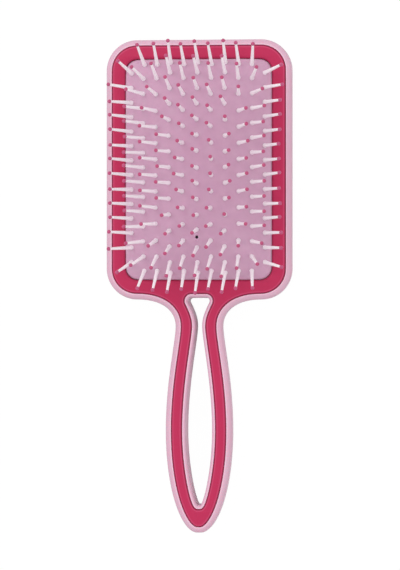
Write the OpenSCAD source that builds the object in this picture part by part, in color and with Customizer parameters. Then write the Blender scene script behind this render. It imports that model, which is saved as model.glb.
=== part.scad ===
// Detangling paddle brush: a light pink shell with an open loop handle, a magenta trim plate
// let into its front, and an air cushion that carries splayed pins with ball tips.
// It lies on its back with the pins up: +Y runs from the handle to the head, and the origin is
// the middle of its footprint, on the surface that it lies on.

/* [Outline] */
// Width of the head
head_w = 90.6; // [84:0.2:98]
// Length of the head, without the handle
head_l = 126.5; // [118:0.5:134]
// Radius of the head's two upper corners
head_corner_r = 15; // [12:0.5:20]
// Radius of the head's two lower corners
foot_corner_r = 15; // [11:0.5:18]
// How far below the head the neck is narrowest
neck_drop = 13.1; // [11:0.1:16]
// How far below the neck the loop is widest
belly_drop = 50.6; // [44:0.2:58]
// How far below its widest place the loop ends
tail_drop = 49.8; // [44:0.2:56]
// Width of each rail of the loop
rail_w = 9.8; // [8.6:0.1:11]
// Gap between the rails at the neck
neck_gap = 3.3; // [2.6:0.1:5]
// Gap between the rails where the loop is widest
belly_gap = 13; // [10:0.2:16]
// Width of the eye at its top edge
eye_top_w = 10.6; // [8.8:0.1:13]
// Radius of the eye's two upper corners
eye_corner_r = 1.8; // [1.2:0.1:2.4]
// How far the eye's top edge lies above the head's lower edge
eye_rise = 0.7; // [0:0.1:1.5]
// Solid length between the eye and the end of the handle
end_l = 13.2; // [11:0.1:16]

/* [Shell] */
// Height of the shell's rim above the surface that it lies on
shell_h = 12; // [10.5:0.1:14]
// Width of the rim that shows round the outside
rim_w = 2.8; // [2.4:0.1:3.4]
// Width of the rim that shows round the eye
eye_rim_w = 1.4; // [1.2:0.1:2]
// Rounding of the back along the outside
back_r = 4.6; // [3:0.1:5.4]
// Rounding of the back round the eye
eye_back_r = 1.5; // [1:0.1:2.4]
// Rounding of the rim's outer edge
rim_r = 2.3; // [1.2:0.1:2.8]
// Rounding of the rim's edge round the eye
eye_rim_r = 1; // [0.6:0.1:1.2]
// How much further in the eye's wall stands at the back than at the rim
eye_draft = 0.4; // [0:0.1:1]
// Thickness of the back
back_t = 2.6; // [2:0.1:3.2]
// Width of the seat that the trim rests on, inside the rim
seat_w = 1.4; // [1:0.1:1.7]
// Thickness of the walls round the cushion's pocket and round the pegs
wall_t = 0.9; // [0.6:0.1:1.1]
// Thickness of the ribs across the hollow rails
rib_t = 1.2; // [0.9:0.1:1.8]

/* [Trim] */
// Thickness of the trim plate
trim_t = 2; // [1.6:0.1:2.4]
// How far the trim stands above the rim
trim_proud = 0.5; // [0.2:0.1:0.8]
// Width of the trim between the rim and the cushion
band_w = 6.7; // [6.4:0.1:8]
// Corner radius of the opening that the cushion fills
opening_r = 6; // [4.6:0.1:8]
// Rounding of the trim's edges
trim_r = 0.7; // [0.4:0.1:1]
// Gap between the trim and the rim
trim_gap = 0.2; // [0.1:0.05:0.35]
// Radius of the trim's snap pegs
peg_r = 0.9; // [0.7:0.05:1.05]
// Length of the pegs below the trim
peg_l = 4.2; // [3:0.1:4.8]
// Clearance round a peg in its socket
peg_gap = 0.05; // [0.02:0.01:0.1]

/* [Cushion] */
// Thickness of the rubber
skin_t = 1.8; // [1.4:0.1:2.2]
// Height that the edge of the cushion rises above the underside of the trim
shoulder_h = 2.5; // [1.8:0.1:3.4]
// Width of the rounded shoulder inside that edge
shoulder_w = 3; // [2.6:0.1:3.4]
// Height of the crown above the shoulder
crown_h = 9.4; // [7:0.2:11]
// Width of the flange that the trim clamps
flange_w = 3.2; // [2.6:0.1:3.6]
// Thickness of that flange
flange_t = 1.5; // [1.1:0.1:1.9]
// Gap between the cushion and the edge of the opening
cushion_gap = 0.2; // [0.15:0.05:0.4]
// Clearance above, below and outside the flange
flange_gap = 0.08; // [0.04:0.02:0.2]
// Radius of the vent hole
vent_r = 0.75; // [0.5:0.05:0.9]
// How far the vent lies from the middle of the cushion, towards the handle
vent_drop = 33; // [30:0.5:35]

/* [Pins] */
// Length of a pin from the cushion to the middle of its ball
pin_l = 19; // [15:0.5:22]
// Radius of a pin's knob, where it leaves the cushion
knob_r = 1.25; // [1.1:0.05:1.4]
// Height of that knob
knob_h = 1.5; // [1:0.1:2]
// Radius of a pin just above its knob
shaft_r = 0.98; // [0.85:0.01:1.1]
// Radius of a pin at its tip
point_r = 0.64; // [0.5:0.02:0.7]
// Radius of the neck that passes through the rubber
waist_r = 0.9; // [0.7:0.05:1]
// Radius of a pin's flat head, under the rubber
head_r = 1.5; // [1.3:0.05:1.7]
// Thickness of that flat head at its edge
head_t = 0.6; // [0.4:0.05:0.8]
// How far the upper face of that head slopes down
head_slope = 0.4; // [0.3:0.05:0.5]
// Radius of the ball on each tip
ball_r = 0.96; // [0.85:0.01:1.1]
// How far each pin reaches past the middle of its ball
ball_bite = 0.3; // [0.2:0.05:0.45]
// Gap between the rubber and the knob above it
knob_gap = 0.26; // [0.2:0.02:0.35]
// Gap between the rubber and the head below it
head_gap = 0.6; // [0.5:0.02:0.7]
// Clearance round the neck in its hole
hole_gap = 0.1; // [0.06:0.02:0.15]
// Clearance between a ball and the pin inside it
ball_gap = 0.02; // [0.01:0.01:0.04]
// Distance from the edge of the opening to the outer columns of pins
side_gap = 3.7; // [3.5:0.05:4.6]
// Distance from the edge of the opening to the end rows of pins
end_gap = 3.2; // [3:0.05:4.2]
// Distance from the edge of the opening to the corner pins, along the brush
corner_gap = 8; // [7:0.1:9.5]
// Step between the end rows and the next pins, in the three columns that reach furthest
end_step = 5; // [4.6:0.1:6.5]
// The same step in the other columns
wide_step = 6.8; // [6:0.1:7.6]
// How much closer to the middle the end pins of those other columns stand
end_zigzag = 0.9; // [0.3:0.1:1.2]
// Extra room that the two pins next to the vent leave it
vent_room = 1; // [0.5:0.1:1.4]
// How far the field of pins lies above the middle of the opening, towards the head
field_rise = 0.8; // [0:0.1:1]
// Lean of the outer columns away from the middle
side_lean = 27; // [22:1:30]
// Lean of the end rows away from the middle
end_lean = 31; // [22:1:34]

/* [Hidden] */
COLUMNS = 11;
NUMBERS = ["01", "02", "03", "04", "05", "06", "07", "08", "09", "10", "11"];

// Colours of the five materials
shell_pink = [0.88, 0.70, 0.79];
trim_magenta = [0.76, 0.16, 0.35];
cushion_pink = [0.84, 0.62, 0.75];
pin_white = [0.95, 0.93, 0.94];
tip_magenta = [0.78, 0.22, 0.42];

// Steps of each curve, and the overrun of every cut
corner_steps = 8;
neck_steps = 10;
belly_steps = 8;
end_steps = 12;
eye_corner_steps = 6;
eye_neck_steps = 7;
round_steps = 4;
overrun = 1;

// Heights
trim_z = shell_h + trim_proud - trim_t;
trim_top_z = trim_z + trim_t;
flange_top_z = trim_z - flange_gap;
flange_z = flange_top_z - flange_t;
ledge_z = flange_z - flange_gap;
socket_z = trim_z - peg_l - trim_gap;

// Places along the brush
overall_l = head_l + neck_drop + belly_drop + tail_drop;
top_y = overall_l / 2;
foot_y = top_y - head_l;
neck_y = foot_y - neck_drop;
belly_y = neck_y - belly_drop;
end_y = belly_y - tail_drop;
eye_top_y = foot_y + eye_rise;
eye_end_y = end_y + end_l;

// Half widths
head_x = head_w / 2;
neck_x = neck_gap / 2 + rail_w;
belly_x = belly_gap / 2 + rail_w;

// The opening for the cushion
opening_w = head_w - 2 * (rim_w + band_w);
opening_l = head_l - 2 * (rim_w + band_w);
opening_y = top_y - head_l / 2;
cushion_a = opening_w / 2 - cushion_gap;
cushion_b = opening_l / 2 - cushion_gap;
cushion_r = opening_r - cushion_gap;
pocket_grow = flange_w - cushion_gap + flange_gap;

// How far the control points of each curve reach, as shares of its width and its drop
neck_shares = [0.65, 0.58];
belly_shares = [0.14, 0.47];
end_shares = [0.60, 0.52];
eye_neck_shares = [0.53, 0.28];
eye_belly_shares = [0.12, 0.446];
eye_end_shares = [0.54, 0.25];
// Half the width of the flat at the end of the handle, and at the end of the eye
end_flat = 0.8;
eye_flat = 0.5;
// The angle that the eye's upper corners turn past the upright
eye_lean = 27;

// The bow that draws the outer columns of pins together, and the one that evens out their leans
bow = 30;
lean_bow = 50;
// How much further the outer columns lean next to the corners, as a share of their lean
corner_lean = 0.5;

// The pins of a column, where the columns' number is even, odd, or the first or last
even_rows = 15;
odd_rows = 14;

// Places of pegs and ribs along the brush, as shares of the head or of the eye
head_peg_shares = [-0.32, 0, 0.32];
top_peg_share = 0.22;
eye_peg_shares = [0.26, 0.56, 0.84];
eye_rib_shares = [0.18, 0.41, 0.70];

// Points and loops

function mid(a, b, share) = a + (b - a) * share;

function arc(centre, r, from, to, steps) =
    [for (i = [0:steps]) let (a = mid(from, to, i / steps)) centre + r * [cos(a), sin(a)]];

function bezier(p, steps) =
    [for (i = [1:steps]) let (t = i / steps, s = 1 - t)
        s ^ 3 * p[0] + 3 * s ^ 2 * t * p[1] + 3 * s * t ^ 2 * p[2] + t ^ 3 * p[3]];

// A whole loop from its right half, which runs from the top to the bottom
function mirrored(half) =
    concat(half, [for (i = [len(half) - 1:-1:0]) [-half[i].x, half[i].y]]);

function out_of(a, b) = let (t = (b - a) / norm(b - a)) [-t.y, t.x];

// The loop with each edge moved out by d, or in by less than nothing
function grown(loop, d) = let (n = len(loop))
    [for (i = [0:n - 1])
        let (a = out_of(loop[(i + n - 1) % n], loop[i]), b = out_of(loop[i], loop[(i + 1) % n]))
            loop[i] + d * (a + b) / (1 + a * b)];

function at_height(loop, z) = [for (p = loop) [p.x, p.y, z]];

function moved(loop, y) = [for (p = loop) [p.x, p.y + y]];

// The right half of the shell's outline
outer_half = concat(
    arc([head_x - head_corner_r, top_y - head_corner_r], head_corner_r, 90, 0, corner_steps),
    arc([head_x - foot_corner_r, foot_y + foot_corner_r], foot_corner_r, 0, -90, corner_steps),
    bezier([[head_x - foot_corner_r, foot_y],
            [mid(head_x - foot_corner_r, neck_x, neck_shares[0]), foot_y],
            [neck_x, mid(neck_y, foot_y, neck_shares[1])],
            [neck_x, neck_y]], neck_steps),
    bezier([[neck_x, neck_y],
            [neck_x, mid(neck_y, belly_y, belly_shares[0])],
            [belly_x, mid(belly_y, neck_y, belly_shares[1])],
            [belly_x, belly_y]], belly_steps),
    bezier([[belly_x, belly_y],
            [belly_x, mid(belly_y, end_y, end_shares[0])],
            [belly_x * end_shares[1], end_y],
            [end_flat, end_y]], end_steps));

// The right half of the eye's outline
eye_corner = arc([eye_top_w / 2 - eye_corner_r, eye_top_y - eye_corner_r],
                 eye_corner_r, 90, -eye_lean, eye_corner_steps);
eye_turn = eye_corner[eye_corner_steps];
eye_fall = (eye_turn.y - neck_y) * eye_neck_shares[0];
eye_half = concat(
    eye_corner,
    bezier([eye_turn,
            eye_turn - eye_fall * [sin(eye_lean), cos(eye_lean)],
            [neck_gap / 2, mid(neck_y, eye_turn.y, eye_neck_shares[1])],
            [neck_gap / 2, neck_y]], eye_neck_steps),
    bezier([[neck_gap / 2, neck_y],
            [neck_gap / 2, mid(neck_y, belly_y, eye_belly_shares[0])],
            [belly_gap / 2, mid(belly_y, neck_y, eye_belly_shares[1])],
            [belly_gap / 2, belly_y]], belly_steps),
    bezier([[belly_gap / 2, belly_y],
            [belly_gap / 2, mid(belly_y, eye_end_y, eye_end_shares[0])],
            [belly_gap / 2 * eye_end_shares[1], eye_end_y],
            [eye_flat, eye_end_y]], end_steps));

outer = mirrored(outer_half);
eye = mirrored(eye_half);

// The middle of a rail at height y
function rail_x(y) =
    (lookup(y, [for (p = outer_half) [p.y, p.x]]) - rim_w
     + lookup(y, [for (p = eye_half) [p.y, p.x]]) + eye_rim_w) / 2;

// A rounded rectangle about the origin, a and b to each side, with its straight sides cut into
// an odd number of steps across and any number along
function cushion_loop(a, b, r, corner, across = 1, along = 1) =
    let (x = a - r, y = b - r, ends = [for (i = [1:2:across - 1]) x * i / across])
        mirrored(concat(
            [for (e = ends) [e, b]],
            arc([x, y], r, 90, 0, corner),
            [for (i = [1:along - 1]) [a, mid(y, -y, i / along)]],
            arc([x, -y], r, 0, -90, corner),
            [for (i = [len(ends) - 1:-1:0]) [ends[i], -b]]));

// Solids from rings of points

function strip(a, b, n) =
    [for (i = [0:n - 1]) let (j = (i + 1) % n) each [[a + i, a + j, b + j], [a + i, b + j, b + i]]];

// A flat end, as strips between the loop's two mirrored halves
function chords(a, n) =
    [for (i = [0:n / 2 - 2]) each [[a + i, a + i + 1, a + n - 2 - i], [a + i, a + n - 2 - i, a + n - 1 - i]]];

function turned(faces) = [for (f = faces) [f[2], f[1], f[0]]];

module stack_of(rings) {
    n = len(rings[0]);
    last = (len(rings) - 1) * n;
    polyhedron(points = [for (r = rings) each r],
               faces = concat(turned(chords(0, n)),
                              [for (k = [0:len(rings) - 2]) each strip(k * n, (k + 1) * n, n)],
                              chords(last, n)));
}

// A quarter round from an upright wall: each step gives how far it has turned in, and up
function quarter(r, steps) = [for (i = [0:steps]) [r * (1 - cos(90 * i / steps)), r * sin(90 * i / steps)]];

// Shell

module shell_body() {
    back = quarter(back_r, round_steps);
    edge = quarter(rim_r, round_steps - 1);
    stack_of(concat(
        [for (i = [round_steps:-1:0]) at_height(grown(outer, -back[i][0]), back_r - back[i][1])],
        [for (e = edge) at_height(grown(outer, -e[0]), shell_h - rim_r + e[1])]));
}

module eye_cut() {
    back = quarter(eye_back_r, round_steps);
    edge = quarter(eye_rim_r, round_steps - 1);
    stack_of(concat(
        [at_height(grown(eye, eye_back_r - eye_draft), -overrun)],
        [for (i = [round_steps:-1:0]) at_height(grown(eye, back[i][0] - eye_draft), eye_back_r - back[i][1])],
        [for (e = edge) at_height(grown(eye, e[0]), shell_h - eye_rim_r + e[1])],
        [at_height(grown(eye, eye_rim_r), shell_h + overrun)]));
}

module rounded(w, l, r) {
    for (x = [-1, 1], y = [-1, 1]) translate([x * (w / 2 - r), y * (l / 2 - r)]) circle(r, $fn = 48);
    square([w - 2 * r, l], center = true);
    square([w, l - 2 * r], center = true);
}

module opening(grow) {
    translate([0, opening_y]) rounded(opening_w + 2 * grow, opening_l + 2 * grow, opening_r + grow);
}

module recess() {
    translate([0, 0, trim_z]) linear_extrude(trim_t + overrun) difference() {
        polygon(grown(outer, -rim_w));
        polygon(grown(eye, eye_rim_w));
    }
}

// What is hollowed out under the trim, between the rim, the eye and the cushion's pocket
module core() {
    translate([0, 0, back_t]) linear_extrude(trim_z - back_t + overrun / 2) difference() {
        polygon(grown(outer, -rim_w - seat_w));
        polygon(grown(eye, eye_rim_w + seat_w));
        opening(pocket_grow + wall_t);
    }
}

module tray() {
    translate([0, 0, back_t]) linear_extrude(shell_h) opening(-cushion_gap - skin_t / 2);
    translate([0, 0, ledge_z]) linear_extrude(shell_h) opening(pocket_grow);
}

// The middle of the groove between the cushion's pocket and the rim
groove_x = (head_x - rim_w - seat_w + opening_w / 2 + pocket_grow + wall_t) / 2;
groove_y = groove_x - head_x + head_l / 2;

head_pegs = concat(
    [for (s = [-1, 1], share = head_peg_shares) [s * groove_x, opening_y + head_l * share]],
    [for (s = [-1, 1]) [s * head_w * top_peg_share, opening_y + groove_y]]);
rail_pegs = [for (s = [-1, 1], share = eye_peg_shares)
    let (y = mid(neck_y, eye_end_y, share)) [s * rail_x(y), y]];
end_peg = [[0, (end_y + rim_w + eye_end_y - eye_rim_w) / 2]];
pegs = concat(head_pegs, rail_pegs, end_peg);

module bosses() {
    for (p = pegs) translate([p.x, p.y, back_t - overrun])
        cylinder(r = peg_r + peg_gap + wall_t, h = shell_h, $fn = 32);
}

module sockets() {
    for (p = pegs) translate([p.x, p.y, socket_z])
        cylinder(r = peg_r + peg_gap, h = shell_h, $fn = 32);
}

module ribs() {
    for (s = [-1, 1], share = eye_rib_shares) let (y = mid(neck_y, eye_end_y, share))
        translate([s * rail_x(y) - rail_w / 2, y - rib_t / 2, back_t - overrun])
            cube([rail_w, rib_t, trim_z - trim_gap - back_t + overrun]);
}

module shell() {
    color(shell_pink) difference() {
        shell_body();
        eye_cut();
        recess();
        tray();
        sockets();
        difference() {
            core();
            bosses();
            ribs();
        }
    }
}

// Trim

module trim_body() {
    edge = quarter(trim_r, round_steps - 1);
    loop = grown(outer, -rim_w - trim_gap);
    stack_of(concat(
        [at_height(loop, trim_z)],
        [for (e = edge) at_height(grown(loop, -e[0]), trim_top_z - trim_r + e[1])]));
}

module trim_cut(loop) {
    edge = quarter(trim_r, round_steps - 1);
    stack_of(concat(
        [at_height(loop, trim_z - overrun)],
        [for (e = edge) at_height(grown(loop, e[0]), trim_top_z - trim_r + e[1])],
        [at_height(grown(loop, trim_r), trim_top_z + overrun)]));
}

module trim() {
    color(trim_magenta) {
        difference() {
            trim_body();
            trim_cut(grown(eye, eye_rim_w + trim_gap));
            trim_cut(moved(cushion_loop(opening_w / 2, opening_l / 2, opening_r, corner_steps), opening_y));
        }
        for (p = pegs) translate([p.x, p.y, trim_z - peg_l])
            cylinder(r = peg_r, h = peg_l + trim_t / 2, $fn = 32);
    }
}

// Cushion

// How far a point lies inside the cushion's edge
function inset(x, y) =
    let (qx = abs(x) - cushion_a + cushion_r, qy = abs(y) - cushion_b + cushion_r)
        cushion_r - norm([max(qx, 0), max(qy, 0)]) - min(max(qx, qy), 0);

function shoulder(d) = let (t = min(max(1 - d / shoulder_w, 0), 1)) shoulder_h * sqrt(1 - t * t);

// How far out a point lies on the crown, from 0 in the middle to 1 at the middle of each side.
// The crown falls with its square across the brush, and with its fourth power along it
function reach(x, y) = ((x / cushion_a) ^ 6 + (y / cushion_b) ^ 12) ^ (1 / 3);

function dome_z(x, y) = flange_top_z + shoulder(inset(x, y)) + crown_h * (1 - reach(x, y));

// The crown's fall along X and along Y
function slope(x, y) = reach(x, y) == 0 ? [0, 0] : crown_h / reach(x, y) ^ 2
    * [2 * (x / cushion_a) ^ 5 / cushion_a, 4 * (y / cushion_b) ^ 11 / cushion_b];

cushion_corner_steps = 3;
cushion_steps = [7, 11];
shoulder_steps = 3;
dome_shares = [0.91, 0.81, 0.7, 0.57, 0.43, 0.28, 0.14];

function cushion_ring(d) =
    cushion_loop(cushion_a - d, cushion_b - d, max(cushion_r - d, cushion_r / 5),
                 cushion_corner_steps, cushion_steps[0], cushion_steps[1]);

dome_ring = cushion_ring(shoulder_w);

// How far up the inside of the shoulder its bend lies
inner_shoulder_share = 0.9;

function under(x, y) = dome_z(x, y) - skin_t * norm([1, slope(x, y).x, slope(x, y).y]);

module cushion_skin() {
    outside = concat(
        [at_height(cushion_ring(-flange_w), flange_z),
         at_height(cushion_ring(-flange_w), flange_top_z)],
        [for (i = [0:shoulder_steps]) let (d = shoulder_w * (1 - cos(90 * i / shoulder_steps)))
            [for (p = cushion_ring(d)) [p.x, p.y, dome_z(p.x, p.y)]]],
        [for (s = dome_shares) [for (p = dome_ring) [p.x * s, p.y * s, dome_z(p.x * s, p.y * s)]]]);
    inside = concat(
        [for (i = [len(dome_shares) - 1:-1:0]) let (s = dome_shares[i])
            [for (p = dome_ring) [p.x * s, p.y * s, under(p.x * s, p.y * s)]]],
        [[for (p = cushion_ring(shoulder_w + skin_t / 2)) [p.x, p.y, under(p.x, p.y)]]],
        [[for (p = cushion_ring(skin_t * 1.15))
            [p.x, p.y, mid(flange_z, under(p.x, p.y), inner_shoulder_share)]]],
        [at_height(cushion_ring(skin_t), flange_z)]);
    rings = concat(inside, outside);
    n = len(dome_ring);
    count = len(rings) * n;
    polyhedron(
        points = concat([for (r = rings) each r], [[0, 0, under(0, 0)], [0, 0, dome_z(0, 0)]]),
        faces = concat(
            [for (i = [0:n - 1]) let (j = (i + 1) % n) [count, j, i]],
            [for (k = [0:len(rings) - 2]) each strip(k * n, (k + 1) * n, n)],
            [for (i = [0:n - 1]) let (j = (i + 1) % n) [count - n + i, count - n + j, count + 1]]));
}

module cushion() {
    color(cushion_pink) translate([0, opening_y, 0]) difference() {
        cushion_skin();
        for (k = [0:COLUMNS - 1], y = rows(k)) on_pin([column_x(k), y])
            translate([0, 0, -2 * skin_t]) cylinder(r = waist_r + hole_gap, h = 4 * skin_t, $fn = 24);
        translate([0, -vent_drop, flange_z])
            cylinder(r = vent_r, h = crown_h + shoulder_h + skin_t, $fn = 24);
    }
}

// Pins

side_x = opening_w / 2 - side_gap;
end_row_y = opening_l / 2 - end_gap;
inner_row_y = end_row_y - end_step;
corner_row_y = opening_l / 2 - corner_gap;
// Where column k stands, and the places of its pins along the brush
function column_x(k) = let (half = (COLUMNS - 1) / 2) side_x * sin(bow * (k - half) / half) / sin(bow);

function spread(from, n) = [for (i = [0:n - 1]) mid(-from, from, i / (n - 1))];

function clear_of_vent(k, y) = let (d = (y + field_rise + vent_drop) / (inner_row_y * 2 / (even_rows - 3)))
    k == (COLUMNS - 1) / 2 && abs(d) < 1 ? y + sign(d) * vent_room * (1 - abs(d)) : y;

function rows(k) =
    let (n = k % 2 == 1 ? even_rows : odd_rows,
         far = k % 2 == 1 && k > 1 && k < COLUMNS - 2,
         tail = far ? end_row_y : end_row_y - end_zigzag,
         step = far ? end_step : wide_step)
    k == 0 || k == COLUMNS - 1
        ? spread(corner_row_y, n)
        : concat([-tail], [for (y = spread(tail - step, n - 2)) clear_of_vent(k, y)], [tail]);

// How far a pin at p leans across the brush and along it, in degrees: next to the long sides all
// across, next to the ends all along, and further out towards the corners
function lean(p) =
    let (u = p.x / side_x, v = p.y / end_row_y, g = abs(u) ^ 4, f = v ^ 4, whole = (g ^ 3 + f ^ 3) ^ (2 / 3))
        whole == 0 ? [0, 0]
        : [side_lean * sin(lean_bow * u) / sin(lean_bow) * (1 + corner_lean * f * u ^ 8) * g ^ 2,
           end_lean * v ^ 3 * f ^ 2] / whole;

// Its children stand on the cushion at p, about the middle of the field, with +Z along the pin
module on_pin(p) {
    away = [sin(lean(p).x), sin(lean(p).y)];
    translate([p.x, p.y + field_rise, dome_z(p.x, p.y + field_rise)])
        rotate([0, asin(norm(away)), atan2(away.y, away.x)])
            children();
}

module pin() {
    head_z = -skin_t - head_gap;
    rotate_extrude($fn = 24) polygon([
        [0, head_z - head_slope - head_t],
        [head_r, head_z - head_slope - head_t],
        [head_r, head_z - head_slope],
        [waist_r, head_z],
        [waist_r, knob_gap],
        [knob_r, knob_gap + knob_r - waist_r],
        [knob_r, knob_h - (knob_r - shaft_r)],
        [shaft_r, knob_h + knob_gap],
        [point_r, pin_l - ball_r],
        [point_r, pin_l + ball_bite],
        [0, pin_l + ball_bite]]);
}

module ball() {
    difference() {
        translate([0, 0, pin_l]) sphere(r = ball_r, $fn = 24);
        translate([0, 0, pin_l - 2 * ball_r])
            cylinder(r = point_r + ball_gap, h = 2 * ball_r + ball_bite + ball_gap, $fn = 24);
    }
}

module pins(k) {
    color(pin_white) translate([0, opening_y, 0])
        for (y = rows(k)) on_pin([column_x(k), y]) pin();
}

module tips(k) {
    color(tip_magenta) translate([0, opening_y, 0])
        for (y = rows(k)) on_pin([column_x(k), y]) ball();
}

shell();
trim();
cushion();
for (k = [0:COLUMNS - 1]) {
    pins(k);
    tips(k);
}
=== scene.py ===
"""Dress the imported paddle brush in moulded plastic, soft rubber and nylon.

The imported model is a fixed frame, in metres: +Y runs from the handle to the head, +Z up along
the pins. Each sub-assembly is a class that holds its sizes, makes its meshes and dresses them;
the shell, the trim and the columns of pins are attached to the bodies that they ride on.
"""

from __future__ import annotations

import logging
import math
from dataclasses import dataclass, field
from enum import Enum
from functools import partialmethod

import bmesh
import bpy
from bpy.types import Material, Mesh, Node, NodeSocket, NodeTree, Object
from mathutils import Matrix, Vector
from mathutils.geometry import tessellate_polygon

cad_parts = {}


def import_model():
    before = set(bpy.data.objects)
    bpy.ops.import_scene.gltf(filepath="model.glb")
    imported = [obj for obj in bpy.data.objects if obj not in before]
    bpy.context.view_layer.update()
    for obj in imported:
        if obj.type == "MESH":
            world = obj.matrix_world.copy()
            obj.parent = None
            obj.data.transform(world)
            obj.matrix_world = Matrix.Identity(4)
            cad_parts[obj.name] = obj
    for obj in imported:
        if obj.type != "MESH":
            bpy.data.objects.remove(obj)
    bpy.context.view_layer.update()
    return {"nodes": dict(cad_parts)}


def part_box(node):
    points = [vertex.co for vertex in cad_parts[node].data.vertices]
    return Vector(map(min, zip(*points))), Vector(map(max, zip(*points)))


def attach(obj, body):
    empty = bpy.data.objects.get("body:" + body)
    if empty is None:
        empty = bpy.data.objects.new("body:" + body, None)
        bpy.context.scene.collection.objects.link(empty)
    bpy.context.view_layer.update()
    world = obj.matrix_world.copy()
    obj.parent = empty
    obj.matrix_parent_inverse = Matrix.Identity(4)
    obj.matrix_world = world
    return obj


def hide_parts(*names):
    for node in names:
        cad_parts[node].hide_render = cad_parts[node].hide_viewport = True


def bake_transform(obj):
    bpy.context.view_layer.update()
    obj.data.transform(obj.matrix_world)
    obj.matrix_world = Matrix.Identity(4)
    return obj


LOG = logging.getLogger("paddle_brush")
MM = 0.001
MERGE_WITHIN = 0.001 * MM
SHARP_ANGLE = math.radians(35)
# A point attribute of painted light: a painted highlight above zero, painted shade below zero.
PAINTED_LIGHT_MARK = "edge"
AIM = "aim"
COLUMNS = 11

Loop = list[Vector]
Pair = tuple[float, float]
Profile = list[tuple[float, float, float]]
Colour = tuple[float, float, float]
Options = dict[str, object]


class Slot(Enum):
    """The record's material slots."""

    SHELL = "shell"
    TRIM = "trim"
    CUSHION = "cushion"
    PINS = "pins"
    TIPS = "tips"


class Body(Enum):
    """The frame's bodies that single pieces ride on. The columns of pins add theirs by number."""

    HANDLE = "handle_body"
    PAD = "cushion_pad"


class Part(Enum):
    """What a column's tree puts at each pin's foot."""

    SHAFT = "nylon_pins"
    BALL = "ball_tips"


# Plan curves


def arc(centre: Vector, radius: float, start: float, end: float, steps: int) -> Loop:
    """Points along a circular arc.

    Args:
        centre: Its centre.
        radius: Its radius.
        start: The angle that it starts at, in degrees.
        end: The angle that it ends at, in degrees.
        steps: How many steps it has.

    Returns:
        The points, with both ends.
    """
    angles = [math.radians(start + (end - start) * i / steps) for i in range(steps + 1)]
    return [centre + radius * Vector((math.cos(a), math.sin(a))) for a in angles]


def bezier(handles: Loop, steps: int) -> Loop:
    """Points along a cubic curve.

    Args:
        handles: Its four control points.
        steps: How many steps it has.

    Returns:
        The points, without the first.
    """
    points = []
    for i in range(1, steps + 1):
        t = i / steps
        s = 1 - t
        weights = (s**3, 3 * s * s * t, 3 * s * t * t, t**3)
        points.append(sum((w * h for w, h in zip(weights, handles)), Vector((0, 0))))
    return points


def mirrored(half: Loop) -> Loop:
    """A whole loop from its right half, which runs from the top to the bottom."""
    return half + [Vector((-p.x, p.y)) for p in reversed(half)]


def grown(loop: Loop, distance: float) -> Loop:
    """A loop moved outwards.

    Args:
        loop: The points, clockwise from above.
        distance: How far each edge moves out, or in below zero.

    Returns:
        As many points as the loop has.
    """
    count = len(loop)
    out = []
    for i, point in enumerate(loop):
        before = (point - loop[i - 1]).normalized()
        after = (loop[(i + 1) % count] - point).normalized()
        a, b = Vector((-before.y, before.x)), Vector((-after.y, after.x))
        out.append(point + distance * (a + b) / (1 + a.dot(b)))
    return out


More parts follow.
